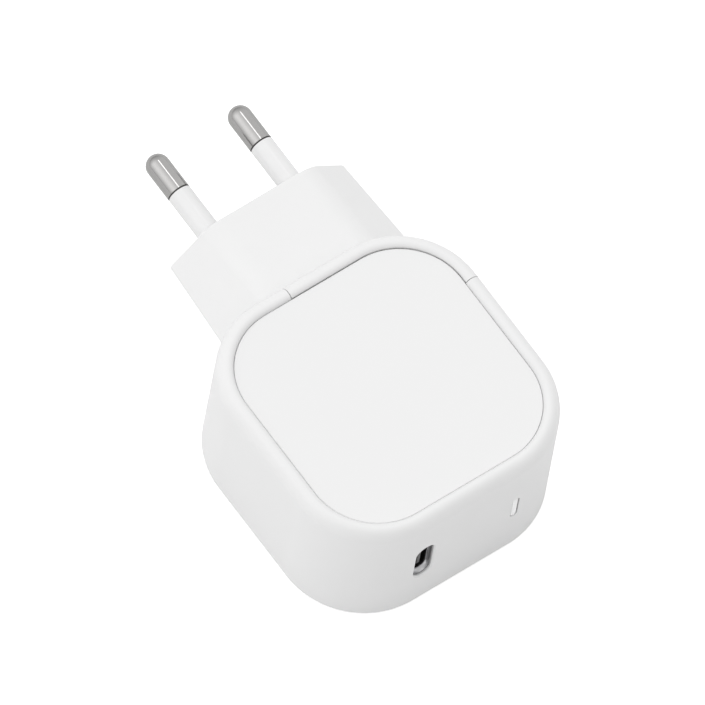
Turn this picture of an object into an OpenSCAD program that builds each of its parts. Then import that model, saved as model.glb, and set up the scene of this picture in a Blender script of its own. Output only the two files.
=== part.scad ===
// Compact USB-C wall charger for a laptop, with a plug head that slides off.
// +Z up, +Y towards the mains pins, origin at the middle of the body's bottom face, millimetres.

/* [Body] */
// Width and depth of the square body
body_w = 56.4; // [54:0.2:80]
// Radius of the body's upright corners
corner_r = 17.1; // [14:0.1:20]
// Height of the top panel's face
body_h = 30.9; // [29:0.1:45]
// Thickness of the side walls
wall = 2.0; // [1.8:0.1:2.4]
// Radius of the bottom edge
base_edge_r = 0.8; // [0.4:0.1:1]
// Thickness of the base cover
base_t = 2.0; // [1.6:0.1:2.4]
// Depth of the step in the wall that takes the base cover
base_step = 0.8; // [0.4:0.1:0.9]

/* [Rim and panel] */
// Width of the rim, from the panel's edge to the outer wall
rim_w = 3.4; // [3:0.1:4]
// Height of the rim's crest above the panel
rim_rise = 0.75; // [0.4:0.05:1.2]
// Width of the rim's inner rounding
rim_in_w = 1.25; // [0.8:0.05:1.4]
// Height of the rim's inner rounding
rim_in_h = 0.9; // [0.5:0.05:1.2]
// Height of the rim's outer rounding
rim_drop = 3.2; // [2:0.1:4]
// Thickness of the glossy panel
panel_t = 1.2; // [1:0.1:1.6]
// Thickness of the web under the panel
web_t = 1.4; // [1.2:0.1:2]
// Gap round the panel
panel_gap = 0.05; // [0.05:0.05:0.2]

/* [Plug head] */
// Place of the seam across the back rim
seam_x = -4.9; // [-6:0.1:-4]
// Place of the seam across the right rim
seam_y = 9.8; // [9:0.1:12]
// Width of the seam
seam_gap = 0.15; // [0.1:0.05:0.3]
// Gap between the head's rim and the panel
lip_gap = 0.16; // [0.12:0.02:0.5]
// Wall of the plug head
head_wall = 1.8; // [1.5:0.1:2.2]
// Width of the plug block's end face
block_w = 40.0; // [36:0.1:48]
// Thickness of the plug block's end face
block_h = 17.1; // [14:0.1:20]
// Length of the plug block behind the body
block_l = 20.45; // [18:0.1:30]
// Draft of the plug block's sides, in degrees
block_draft = 3.3; // [1:0.1:4]
// Distance of the plug block from the body's middle
block_x = 5.5; // [4:0.1:6]
// Rounding of the block's side tips
tip_r = 0.6; // [0.3:0.1:2]
// Rounding of the block's four long edges
ridge_r = 6.5; // [1:0.5:7]

/* [Mains pins] */
// Diameter of the mains pins
pin_d = 4.8; // [4:0.1:5]
// Distance between the mains pins
pin_spacing = 19.0; // [18:0.1:24]
// Length of the mains pins beyond the plinth
pin_l = 19.0; // [18:0.1:24]
// Length of bare metal at the tip
pin_bare_l = 9.3; // [8:0.1:12]
// Diameter of the pin's metal core under the sleeve
pin_core_d = 3.6; // [3:0.1:3.8]
// Height of the plinth that the pins stand on
plinth_h = 1.9; // [1:0.1:3]
// Half-height of the plinth
plinth_r = 3.0; // [2.8:0.1:4]

/* [Port and indicator] */
// Place of the port across the front
port_x = -10.0; // [-11:0.1:-9]
// Width of the port's opening
port_w = 4.05; // [4:0.05:5]
// Height of the port's opening
port_h = 11.1; // [10.8:0.1:13]
// Depth of the chamfer round the port
port_chamfer = 0.28; // [0.1:0.02:0.5]
// Place of the indicator across the front
lens_x = 11.0; // [8:0.1:11]
// Width of the indicator's window
lens_w = 1.6; // [1:0.1:2]
// Height of the indicator's window
lens_h = 7.0; // [4:0.1:8]

/* [Inlet and latch] */
// Diameter of the inlet's pins
inlet_pin_d = 2.4; // [2:0.1:3]
// Distance between the inlet's pins
inlet_spacing = 8.6; // [8:0.1:10]
// Length of the inlet's pins beyond the wall
inlet_pin_l = 8.2; // [7:0.1:10]
// Diameter of the latch post's shank
post_d = 3.0; // [2:0.1:4]
// Diameter of the latch post's head
post_head_d = 5.2; // [4:0.1:6]
// Distance of the latch post behind the seam
post_back = 5.2; // [4:0.1:8]

/* [Circuit] */
// Thickness of the circuit boards
board_t = 1.6; // [1:0.1:2]
// Height of the standoffs under the main board
standoff_h = 3.0; // [2:0.1:4]
// Gap between the boards and the walls
board_gap = 0.6; // [0.3:0.1:1]
// Width of the transformer
core_w = 18.0; // [16:0.5:20]
// Depth of the transformer
core_d = 14.0; // [12:0.5:15]
// Height of the transformer
core_h = 17.0; // [14:0.5:18]
// Diameter of the large bulk capacitor
bulk_d = 12.5; // [10:0.5:13]
// Diameter of the small bulk capacitor
bulk_small_d = 10.0; // [8:0.5:11]

/* [Hidden] */
$fn = 64;
eps = 0.01;
far = 200;

// Gap left between pieces that are pressed or glued in place
fit_gap = 0.05;
// Gap round what slides
slide_gap = 0.2;

body_half = body_w / 2;
straight_half = body_half - corner_r;
cavity_half = body_half - wall;
panel_half = body_half - rim_w;
crest_z = body_h + rim_rise;
recess_z = body_h - panel_t;
web_z = recess_z - web_t;
mid_z = body_h / 2;

head_x = seam_x + seam_gap;
head_y = seam_y + seam_gap;
head_top_z = web_z - slide_gap;
block_end_y = body_half + block_l;
plinth_y = block_end_y + plinth_h;
pin_tip_y = plinth_y + pin_l;
bare_y = pin_tip_y - pin_bare_l;
draft_slope = tan(block_draft);

inlet_x = block_x + pin_spacing / 2 - inlet_spacing / 2;
inlet_open_w = inlet_spacing + 6;
inlet_open_h = inlet_pin_d + 4.2;
collar_d = post_d + 1.3;
collar_t = 0.8;
post_y = seam_y + post_back;
board_z = base_t + standoff_h;
board_top = board_z + board_t;
spreader_t = 0.8;
spreader_z = web_z - spreader_t - fit_gap;

// ---------- shapes shared by several pieces ----------

// Square with round corners, as a flat outline
module round_square(half, r) {
  square([2 * half, 2 * (half - r)], center = true);
  square([2 * (half - r), 2 * half], center = true);
  for (sx = [-1, 1], sy = [-1, 1])
    translate([sx * (half - r), sy * (half - r)]) circle(r = r);
}

// Upright prism on the body's own outline, moved in by inset
module body_prism(inset, z0, z1) {
  translate([0, 0, z0])
    linear_extrude(z1 - z0) round_square(body_half - inset, corner_r - inset);
}

// Box given by its lowest and highest corners
module span(low, high) {
  translate(low) cube(high - low);
}

// Everything behind and to the right of the seam planes, moved out by grow
module corner_region(grow, z0, z1) {
  span([seam_x - grow, seam_y - grow, z0], [far, far, z1]);
}

// Slot shape with round ends, width along X and height along Y of the flat outline
module slot_2d(w, h) {
  square([w, h - w], center = true);
  for (s = [-1, 1]) translate([0, s * (h - w) / 2]) circle(d = w);
}

// Upright slot through the front, from y0 to y1
module front_slot(x, w, h, y0, y1) {
  translate([x, y1, mid_z]) rotate([90, 0, 0]) linear_extrude(y1 - y0) slot_2d(w, h);
}

// Round rod along +Y
module rod_y(x, z, d, y0, y1) {
  translate([x, y0, z]) rotate([-90, 0, 0]) cylinder(d = d, h = y1 - y0);
}

// Round rod along X on the latch post's axis
module rod_x(x0, x1, d) {
  translate([x0, post_y, mid_z]) rotate([0, 90, 0]) cylinder(d = d, h = x1 - x0);
}

// Side view of the rim and wall, measured outwards from a corner's centre
edge_steps = 4;
rim_steps = 7;
rim_out = rim_w - rim_in_w;
crest_r = corner_r - rim_out;
wall_profile = concat(
  [[0, 0]],
  [for (i = [0:edge_steps]) let (a = -90 + 90 * i / edge_steps)
    [corner_r - base_edge_r + base_edge_r * cos(a), base_edge_r + base_edge_r * sin(a)]],
  [for (i = [0:rim_steps]) let (a = 90 * i / rim_steps)
    [crest_r + rim_out * cos(a), crest_z - rim_drop + rim_drop * sin(a)]],
  [for (i = [1:rim_steps]) let (a = 90 + 90 * i / rim_steps)
    [crest_r + (rim_in_w - panel_gap) * cos(a), crest_z - rim_in_h + rim_in_h * sin(a)]],
  [[corner_r - rim_w + panel_gap, recess_z], [0, recess_z]]
);

// The whole body's outside, with the panel's recess: four corners, four sides and the middle
module body_form() {
  for (q = [0:3]) rotate(90 * q) {
    translate([straight_half, straight_half, 0])
      rotate_extrude(angle = 90) polygon(wall_profile);
    translate([straight_half, straight_half, 0]) rotate([90, 0, 0])
      linear_extrude(2 * straight_half) polygon(wall_profile);
  }
  span([-straight_half, -straight_half, 0], [straight_half, straight_half, recess_z]);
}

// ---------- the body's shells ----------

// Hole for the charging plug, with its chamfer at the front face
module port_hole() {
  front_slot(port_x, port_w, port_h, -body_half - 1, -cavity_half + 1);
  front_slot(port_x, port_w + 2 * port_chamfer, port_h + 2 * port_chamfer,
    -body_half - 1, -body_half + port_chamfer);
}

// Hollow for the circuit, with the step for the base cover at its bottom
module body_cavity() {
  difference() {
    body_prism(wall, 0, web_z);
    corner_region(wall, -1, far);
  }
  difference() {
    body_prism(wall - base_step, -1, base_t);
    corner_region(wall - base_step, -2, far);
  }
}

module housing() {
  color("whitesmoke") difference() {
    body_form();
    body_cavity();
    corner_region(0, -1, web_z);
    difference() {
      corner_region(0, web_z - eps, far);
      body_prism(rim_w, web_z - 1, far);
    }
    port_hole();
    front_slot(lens_x, lens_w, lens_h, -body_half - 1, -cavity_half + 1);
    // Opening for the inlet
    span([inlet_x - inlet_open_w / 2, seam_y - wall - 1, mid_z - inlet_open_h / 2],
      [inlet_x + inlet_open_w / 2, seam_y + 1, mid_z + inlet_open_h / 2]);
    // Hole for the latch post, and the counterbore for its collar
    rod_x(seam_x - wall - 1, seam_x + 1, post_d + 2 * fit_gap);
    rod_x(seam_x - collar_t, seam_x + 1, collar_d + 2 * fit_gap);
  }
}

module top_panel() {
  color("white") body_prism(rim_w, recess_z, body_h);
}

standoff_d = 3.0;
standoff_front_inset = 8.0;
standoff_back_inset = 4.0;
// Places of the standoffs: three outer corners of the board and its inner corner
standoff_places = [
  [-cavity_half + standoff_front_inset, -cavity_half + standoff_front_inset],
  [cavity_half - standoff_front_inset, -cavity_half + standoff_front_inset],
  [seam_x - wall - standoff_back_inset, cavity_half - standoff_back_inset],
  [cavity_half - standoff_back_inset, seam_y - wall - standoff_back_inset]
];

module base_cover() {
  color("whitesmoke") {
    difference() {
      body_prism(wall - base_step + panel_gap, 0, base_t);
      corner_region(wall - base_step + panel_gap, -1, far);
    }
    for (p = standoff_places)
      translate([p[0], p[1], base_t]) cylinder(d = standoff_d, h = standoff_h);
  }
}

lens_gap = 0.18;
lens_recess = 0.2;
lens_flange = 1.0;
lens_flange_t = 1.0;

module indicator_lens() {
  color("white") {
    front_slot(lens_x, lens_w - 2 * lens_gap, lens_h - 2 * lens_gap,
      -body_half + lens_recess, -cavity_half);
    intersection() {
      front_slot(lens_x, lens_w + 2 * lens_flange, lens_h + 2 * lens_flange,
        -cavity_half - eps, -cavity_half + lens_flange_t);
      body_prism(wall, 0, far);
    }
  }
}

// ---------- the charging port ----------

port_shell_w = 3.26;
port_shell_h = 8.94;
port_shell_t = 0.3;
port_shell_y0 = -body_half + 1.35;
port_shell_y1 = port_shell_y0 + 8.55;
bezel_wall = 0.25;
bezel_y0 = -body_half + 0.5;
bezel_y1 = port_shell_y0 + 1.55;
bezel_flange = 0.8;
bezel_flange_t = 0.8;

// Metal funnel that lines the opening and closes on to the receptacle's mouth
module port_bezel() {
  bezel_w = port_w - 2 * fit_gap;
  bezel_h = port_h - 2 * fit_gap;
  color("silver") difference() {
    union() {
      front_slot(port_x, bezel_w, bezel_h, bezel_y0, bezel_y1);
      intersection() {
        front_slot(port_x, bezel_w + 2 * bezel_flange, bezel_h + 2 * bezel_flange,
          bezel_y1 - bezel_flange_t, bezel_y1);
        body_prism(wall, 0, far);
      }
    }
    front_slot(port_x, bezel_w - 2 * bezel_wall, bezel_h - 2 * bezel_wall,
      bezel_y0 - 1, port_shell_y0);
    front_slot(port_x, port_shell_w + 2 * fit_gap, port_shell_h + 2 * fit_gap,
      bezel_y0 - 1, bezel_y1 + 1);
  }
}

module usb_port_shell() {
  color("gainsboro") difference() {
    front_slot(port_x, port_shell_w, port_shell_h, port_shell_y0, port_shell_y1);
    front_slot(port_x, port_shell_w - 2 * port_shell_t, port_shell_h - 2 * port_shell_t,
      port_shell_y0 - 1, port_shell_y1 + 1);
  }
}

tongue_t = 0.7;
tongue_w = 6.69;
tongue_y0 = port_shell_y0 + 0.35;
tongue_block_t = 1.2;

module usb_port_tongue() {
  block_y0 = port_shell_y1 - tongue_block_t;
  color("black") {
    span([port_x - tongue_t / 2, tongue_y0, mid_z - tongue_w / 2],
      [port_x + tongue_t / 2, block_y0, mid_z + tongue_w / 2]);
    front_slot(port_x, port_shell_w - 2 * port_shell_t - 2 * fit_gap,
      port_shell_h - 2 * port_shell_t - 2 * fit_gap, block_y0, port_shell_y1);
  }
}

contact_pitch = 0.5;
contact_w = 0.25;
contact_t = 0.04;
contact_count = 12;

module usb_port_contacts() {
  color("gold") for (side = [-1, 1], i = [0:contact_count - 1]) {
    z = mid_z + (i - (contact_count - 1) / 2) * contact_pitch;
    x = port_x + side * (tongue_t / 2 + contact_t / 2);
    span([x - contact_t / 2, tongue_y0 + 0.5, z - contact_w / 2],
      [x + contact_t / 2, port_shell_y1 - tongue_block_t, z + contact_w / 2]);
  }
}

// ---------- the inlet and the latch, on the body ----------

inlet_flange = 2.0;
inlet_flange_t = 2.0;
inlet_flange_rise = 1.0;
press_gap = 0.02;
inlet_tail_l = 5.8;
inlet_tail_y = seam_y - wall - inlet_tail_l;

module inlet_block() {
  color("dimgray") difference() {
    union() {
      span([inlet_x - inlet_open_w / 2 + fit_gap, seam_y - wall - eps, mid_z - inlet_open_h / 2 + fit_gap],
        [inlet_x + inlet_open_w / 2 - fit_gap, seam_y, mid_z + inlet_open_h / 2 - fit_gap]);
      span([inlet_x - inlet_open_w / 2 - inlet_flange, seam_y - wall - inlet_flange_t,
        mid_z - inlet_open_h / 2 - inlet_flange_rise],
        [inlet_x + inlet_open_w / 2 + inlet_flange, seam_y - wall,
          mid_z + inlet_open_h / 2 + inlet_flange_rise]);
    }
    for (s = [-1, 1])
      rod_y(inlet_x + s * inlet_spacing / 2, mid_z, inlet_pin_d + 2 * press_gap, inlet_tail_y, seam_y + 1);
  }
}

module inlet_pins() {
  tip = 0.5;
  color("silver") for (s = [-1, 1])
    translate([inlet_x + s * inlet_spacing / 2, inlet_tail_y, mid_z]) rotate([-90, 0, 0]) {
      length = inlet_tail_l + wall + inlet_pin_l;
      cylinder(d = inlet_pin_d, h = length - tip);
      translate([0, 0, length - tip])
        cylinder(d1 = inlet_pin_d, d2 = inlet_pin_d - 2 * tip, h = tip);
    }
}

// Strips from the inlet's pins down to the main board
module inlet_leads() {
  lead_w = 2.0;
  lead_t = 0.5;
  ring_d = inlet_pin_d + 1.6;
  color("goldenrod") for (s = [-1, 1]) {
    x = inlet_x + s * inlet_spacing / 2;
    difference() {
      union() {
        rod_y(x, mid_z, ring_d, inlet_tail_y, inlet_tail_y + lead_t);
        span([x - lead_w / 2, inlet_tail_y, board_top], [x + lead_w / 2, inlet_tail_y + lead_t, mid_z]);
      }
      rod_y(x, mid_z, inlet_pin_d + 2 * press_gap, inlet_tail_y - 1, inlet_tail_y + lead_t + 1);
    }
  }
}

nut_t = 2.0;
thread_past_nut = 0.4;
nut_w = 5.5;
post_head_t = 1.2;
post_head_x = head_x + head_wall + slide_gap;

module latch_post() {
  color("silver") {
    rod_x(seam_x - wall - nut_t - thread_past_nut, post_head_x, post_d);
    rod_x(seam_x - collar_t, seam_x, collar_d);
    rod_x(post_head_x, post_head_x + post_head_t, post_head_d);
  }
}

module post_nut() {
  color("silver") difference() {
    translate([seam_x - wall - nut_t, post_y, mid_z]) rotate([0, 90, 0])
      cylinder(d = nut_w / cos(30), h = nut_t, $fn = 6);
    rod_x(seam_x - wall - nut_t - 1, seam_x, post_d + 2 * press_gap);
  }
}

// ---------- the plug head ----------

head_cavity_top = head_top_z - head_wall;
block_root_y = seam_y + 5;
block_inner_h = block_h - 2 * head_wall;
block_inner_w = block_w - 2 * head_wall * sqrt(2);
tip_steps = 4;

// Points on an arc of a flat outline, about [x, y]
function round_points(x, y, r, from, to, steps) =
  [for (i = [0:steps]) let (a = from + (to - from) * i / steps) [x + r * cos(a), y + r * sin(a)]];

// Flat outline of the plug block: flat top and bottom, sides at 45 degrees that meet in round tips
module block_outline(w, h, r, ridge) {
  tip_x = w / 2 - r;
  ridge_x = w / 2 + r * (sqrt(2) - 1) - h / 2 - ridge * tan(22.5);
  ridge_z = h / 2 - ridge;
  polygon(concat(
    round_points(tip_x, 0, r, -45, 45, tip_steps),
    round_points(ridge_x, ridge_z, ridge, 45, 90, tip_steps),
    round_points(-ridge_x, ridge_z, ridge, 90, 135, tip_steps),
    round_points(-tip_x, 0, r, 135, 225, tip_steps),
    round_points(-ridge_x, -ridge_z, ridge, 225, 270, tip_steps),
    round_points(ridge_x, -ridge_z, ridge, 270, 315, tip_steps)
  ));
}

// Thin slice of the drafted block at y
module block_slice(y) {
  grow = 2 * (block_end_y - y) * draft_slope;
  translate([block_x, y, mid_z]) rotate([90, 0, 0])
    linear_extrude(eps) block_outline(block_w + grow, block_h + grow, tip_r, ridge_r);
}

// Straight hollow inside the block
module block_hollow(y0, y1) {
  translate([block_x, y1, mid_z]) rotate([90, 0, 0])
    linear_extrude(y1 - y0) block_outline(block_inner_w, block_inner_h, 0.3,
      max(0.3, ridge_r - head_wall));
}

// Flat slot shape across both mains pins, from y0 to y1
module pin_slot(grow, y0, y1) {
  r = plinth_r + grow;
  for (s = [-1, 1]) rod_y(block_x + s * pin_spacing / 2, mid_z, 2 * r, y0, y1);
  span([block_x - pin_spacing / 2, y0, mid_z - r], [block_x + pin_spacing / 2, y1, mid_z + r]);
}

// Corner of the body that belongs to the head
module head_corner() {
  difference() {
    intersection() {
      body_form();
      span([head_x, head_y, 0], [far, far, far]);
    }
    body_prism(rim_w - lip_gap, head_top_z, far);
  }
}

// The block, kept clear of the body's back
module plug_block() {
  difference() {
    hull() {
      block_slice(block_root_y);
      block_slice(block_end_y);
    }
    intersection() {
      body_prism(-slide_gap, -1, far);
      span([-far, -far, -1], [head_x, far, far]);
    }
  }
}

module head_corner_hollow() {
  intersection() {
    body_prism(wall, base_t, head_cavity_top);
    span([head_x + head_wall, head_y - 1, 0], [far, far, far]);
  }
}

module head_shell() {
  color("whitesmoke") difference() {
    union() {
      head_corner();
      plug_block();
    }
    head_corner_hollow();
    block_hollow(body_half + slide_gap + head_wall, block_end_y - head_wall);
    intersection() {
      block_hollow(block_root_y, block_end_y - head_wall);
      span([head_x + head_wall, 0, 0], [far, far, far]);
    }
    // Opening for the pin carrier's plinth
    pin_slot(fit_gap, block_end_y - head_wall - 1, block_end_y + 1);
    // Slot for the latch post's shank
    span([head_x - 1, head_y - 1, mid_z - post_d / 2 - slide_gap],
      [head_x + head_wall + 1, post_y, mid_z + post_d / 2 + slide_gap]);
    rod_x(head_x - 1, head_x + head_wall + 1, post_d + 2 * slide_gap);
  }
}

clip_bore_d = inlet_pin_d + 0.1;
clip_d = inlet_pin_d + 1.0;
clip_y0 = head_y + head_wall + 0.15;
clip_y1 = seam_y + inlet_pin_l + 3;
clip_back_t = 1.1;
boss_l = 7.0;

module head_cover() {
  plate_x = head_x + head_wall + fit_gap;
  cover_y1 = head_y + head_wall;
  mouth_r = post_head_d / 2 + 0.3;
  color("whitesmoke") difference() {
    union() {
      intersection() {
        body_prism(wall + fit_gap, base_t + fit_gap, head_cavity_top - fit_gap);
        span([plate_x, head_y, 0], [far, cover_y1, far]);
      }
      for (s = [-1, 1])
        rod_y(inlet_x + s * inlet_spacing / 2, mid_z, clip_d + 2.1, cover_y1 - eps, cover_y1 + boss_l);
    }
    for (s = [-1, 1]) {
      x = inlet_x + s * inlet_spacing / 2;
      rod_y(x, mid_z, inlet_pin_d + 0.6, head_y - 1, cover_y1 + 1);
      rod_y(x, mid_z, clip_d + 2 * fit_gap, cover_y1, cover_y1 + boss_l + 1);
    }
    // Mouth that the latch post's head passes through
    span([plate_x - 1, head_y - 1, mid_z - mouth_r],
      [post_head_x + post_head_t + 0.3, cover_y1 + 1, mid_z + mouth_r]);
  }
}

module contact_clips() {
  slit_w = 0.5;
  color("goldenrod") for (s = [-1, 1]) {
    x = inlet_x + s * inlet_spacing / 2;
    difference() {
      rod_y(x, mid_z, clip_d, clip_y0, clip_y1 + clip_back_t);
      rod_y(x, mid_z, clip_bore_d, clip_y0 - 1, clip_y1);
      span([x - slit_w / 2, clip_y0 - 1, mid_z], [x + slit_w / 2, clip_y0 + 6, mid_z + clip_d]);
    }
  }
}

carrier_y1 = block_end_y - head_wall - fit_gap;
carrier_t = 4.0;
carrier_y0 = carrier_y1 - carrier_t;
carrier_flange = 2.0;
pin_collar_d = pin_d + 0.4;
pin_collar_t = 1.5;
tail_d = 2.4;
rivet_d = 3.6;
rivet_t = 0.5;
tab_t = 0.6;
pin_x = [block_x - pin_spacing / 2, block_x + pin_spacing / 2];

module pin_carrier() {
  color("whitesmoke") difference() {
    union() {
      pin_slot(carrier_flange, carrier_y0, carrier_y1);
      pin_slot(0, carrier_y1 - eps, plinth_y);
    }
    for (x = pin_x) {
      rod_y(x, mid_z, pin_core_d + 2 * press_gap, carrier_y0 - 1, plinth_y + 1);
      rod_y(x, mid_z, pin_collar_d + 2 * press_gap, carrier_y0 - 1, carrier_y0 + pin_collar_t);
    }
  }
}

// Turned pin: rivet tail, collar, thin core under the sleeve, bare round-ended tip
module mains_pin(x) {
  tail_y = carrier_y0 - tab_t - rivet_t;
  half = pin_d / 2;
  translate([x, 0, mid_z]) rotate([-90, 0, 0]) rotate_extrude() {
    translate([0, tail_y]) square([rivet_d / 2, rivet_t]);
    translate([0, tail_y]) square([tail_d / 2, carrier_y0 - tail_y + 1]);
    translate([0, carrier_y0]) square([pin_collar_d / 2, pin_collar_t]);
    translate([0, carrier_y0]) square([pin_core_d / 2, bare_y + 1 - carrier_y0]);
    translate([0, bare_y]) square([half, pin_bare_l - half]);
    intersection() {
      translate([0, pin_tip_y - half]) circle(r = half);
      translate([0, pin_tip_y - half]) square([half, half]);
    }
  }
}

module mains_pin_left() {
  color("silver") mains_pin(pin_x[0]);
}

module mains_pin_right() {
  color("silver") mains_pin(pin_x[1]);
}

module pin_sleeve(x) {
  difference() {
    rod_y(x, mid_z, pin_d, plinth_y, bare_y);
    rod_y(x, mid_z, pin_core_d + 2 * press_gap, plinth_y - 1, bare_y + 1);
  }
}

module pin_sleeve_left() {
  color("whitesmoke") pin_sleeve(pin_x[0]);
}

module pin_sleeve_right() {
  color("whitesmoke") pin_sleeve(pin_x[1]);
}

bar_t = 0.6;
bar_h = 4.0;

// Strip from a contact clip to a mains pin, with a sideways step at jog_y
module busbar(clip_x, pin_x, side, jog_y) {
  tab_half = 2.5;
  run_x = pin_x + side * (tab_half - bar_t / 2);
  tab_y = carrier_y0 - tab_t;
  z = [mid_z - bar_h / 2, mid_z + bar_h / 2];
  difference() {
    union() {
      span([clip_x - bar_t / 2, clip_y1 + clip_back_t, z[0]], [clip_x + bar_t / 2, jog_y + bar_t, z[1]]);
      span([min(clip_x, run_x) - bar_t / 2, jog_y, z[0]],
        [max(clip_x, run_x) + bar_t / 2, jog_y + bar_t, z[1]]);
      span([run_x - bar_t / 2, jog_y, z[0]], [run_x + bar_t / 2, carrier_y0, z[1]]);
      span([pin_x - tab_half, tab_y, mid_z - tab_half], [pin_x + tab_half, carrier_y0, mid_z + tab_half]);
    }
    rod_y(pin_x, mid_z, tail_d + 2 * press_gap, tab_y - 1, carrier_y0 + 1);
  }
}

module busbars() {
  color("goldenrod") {
    busbar(inlet_x - inlet_spacing / 2, pin_x[0], 1, body_half + 5);
    busbar(inlet_x + inlet_spacing / 2, pin_x[1], -1, body_half - 1);
  }
}

// Leaf spring on the head's side wall, above the latch post
module latch_spring() {
  spring_t = 0.3;
  x = head_x + head_wall + fit_gap;
  z0 = mid_z + post_head_d / 2 + 0.8;
  color("silver") {
    span([x, clip_y0, z0], [x + spring_t, clip_y0 + 12, z0 + 4]);
    span([x, clip_y0 + 12 - spring_t, z0], [x + 3, clip_y0 + 12, z0 + 4]);
  }
}

// ---------- the circuit ----------

// Insides of the body that the circuit's pieces are placed from
left_x = -cavity_half;
right_x = cavity_half;
front_y = -cavity_half;
inner_seam_x = seam_x - wall;
inner_seam_y = seam_y - wall;

// Can with an eased top that stands on the main board
module can(x, y, d, h) {
  translate([x, y, board_top]) {
    cylinder(d = d, h = h - can_edge);
    translate([0, 0, h - can_edge]) cylinder(d1 = d, d2 = d - 2 * can_edge, h = can_edge);
  }
}

// Box that stands on the main board, given by its middle and size
module block_on_board(x, y, size) {
  translate([x - size[0] / 2, y - size[1] / 2, board_top]) cube(size);
}

module main_board() {
  color("darkgreen") difference() {
    body_prism(wall + board_gap, board_z, board_top);
    corner_region(wall + board_gap, 0, far);
  }
}

insulator_t = 0.4;
insulator_gap = 0.5;

module insulating_sheet() {
  color("khaki") difference() {
    body_prism(wall + board_gap, base_t, base_t + insulator_t);
    corner_region(wall + board_gap, 0, far);
    for (p = standoff_places)
      translate([p[0], p[1], 0]) cylinder(d = standoff_d + 2 * insulator_gap, h = far);
  }
}

port_board_x = port_x + port_shell_w / 2 + fit_gap;
port_board_y = bezel_y1 + slide_gap;
port_board_t = 1.0;
port_board_l = 11.5;
port_board_headroom = 1.5;

module port_board() {
  color("darkgreen")
    span([port_board_x, port_board_y, board_top],
      [port_board_x + port_board_t, port_board_y + port_board_l, spreader_z - port_board_headroom]);
}

controller_w = 4.0;
controller_t = 0.9;
controller_y = port_board_y + 4.8;

module pd_controller() {
  x = port_board_x + port_board_t;
  color("black")
    span([x, controller_y, mid_z - controller_w / 2],
      [x + controller_t, controller_y + controller_w, mid_z + controller_w / 2]);
}

led_board_y = front_y + lens_flange_t + 1.2;
led_board_t = 0.8;
led_board_left = 3.0;
led_board_right = 1.5;
led_board_rise = 4.0;
led_w = 0.8;
led_h = 1.6;

module led_board() {
  color("darkgreen")
    span([lens_x - led_board_left, led_board_y, board_top],
      [lens_x + led_board_right, led_board_y + led_board_t, mid_z + led_board_rise]);
}

module status_led() {
  color("white")
    span([lens_x - led_w / 2, led_board_y - led_w, mid_z - led_h / 2],
      [lens_x + led_w / 2, led_board_y, mid_z + led_h / 2]);
}

core_x = seam_x + 9.5;
core_y = inner_seam_y - 17.8;
core_leg_t = 3.0;
core_post_d = 6.8;
core_tape_gap = 0.1;
window_h = core_h - 2 * core_leg_t;

// Two ferrite halves with a thin gap between them
module transformer_core() {
  half_leg_h = (window_h - core_tape_gap) / 2;
  color("dimgray") translate([core_x, core_y, board_top]) for (upper = [0, 1])
    translate([0, 0, upper * core_h]) mirror([0, 0, upper]) {
      translate([-core_w / 2, -core_d / 2, 0]) cube([core_w, core_d, core_leg_t]);
      for (s = [-1, 1])
        translate([s * (core_w - core_leg_t) / 2 - core_leg_t / 2, -core_d / 2, core_leg_t])
          cube([core_leg_t, core_d, half_leg_h]);
      translate([0, 0, core_leg_t]) cylinder(d = core_post_d, h = half_leg_h);
    }
}

bobbin_wall = 0.6;
bobbin_in_d = core_post_d + 4 * fit_gap;
bobbin_d = bobbin_in_d + 2 * bobbin_wall;
bobbin_z = board_top + core_leg_t + fit_gap;
bobbin_h = window_h - 2 * fit_gap;
flange_d = core_w - 2 * core_leg_t - 6 * fit_gap;
flange_t = 0.8;
winding_inset = 0.4;

module transformer_bobbin() {
  color("black") translate([core_x, core_y, bobbin_z]) rotate_extrude() {
    translate([bobbin_in_d / 2, 0]) square([bobbin_wall, bobbin_h]);
    for (z = [0, bobbin_h - flange_t])
      translate([bobbin_in_d / 2, z]) square([(flange_d - bobbin_in_d) / 2, flange_t]);
  }
}

module transformer_winding() {
  color("gold") difference() {
    translate([core_x, core_y, bobbin_z + flange_t + fit_gap])
      cylinder(d = flange_d - winding_inset, h = bobbin_h - 2 * flange_t - 2 * fit_gap);
    translate([core_x, core_y, 0]) cylinder(d = bobbin_d + 2 * fit_gap, h = far);
  }
}

can_edge = 0.5;
bulk_h = 18.0;
bulk_nut_gap = 0.7;
bulk_side_gap = 1.2;

module bulk_capacitors() {
  color("darkslategray") {
    can(inner_seam_x - nut_t - bulk_nut_gap - bulk_d / 2, inner_seam_y + 5.4, bulk_d, bulk_h);
    can(left_x + bulk_side_gap + bulk_small_d / 2, inner_seam_y - 7.6, bulk_small_d, bulk_h);
  }
}

output_d = 6.3;
output_h = 9.0;

module output_capacitors() {
  color("silver") {
    can(port_x - port_shell_w / 2 - 3.1, front_y + 8.7, output_d, output_h);
    can(left_x + 5.7, front_y + 14.6, output_d, output_h);
  }
}

x_capacitor_size = [6, 11, 11];

module x_capacitor() {
  color("gold") block_on_board(right_x - 4.7, inner_seam_y - 9, x_capacitor_size);
}

y_capacitor_d = 6.4;
y_capacitor_t = 2.2;
y_capacitor_y = inner_seam_y - 4;

module y_capacitor() {
  color("royalblue")
    rod_y(inner_seam_x - 3.7, board_top + y_capacitor_d / 2, y_capacitor_d,
      y_capacitor_y - y_capacitor_t, y_capacitor_y);
}

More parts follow.
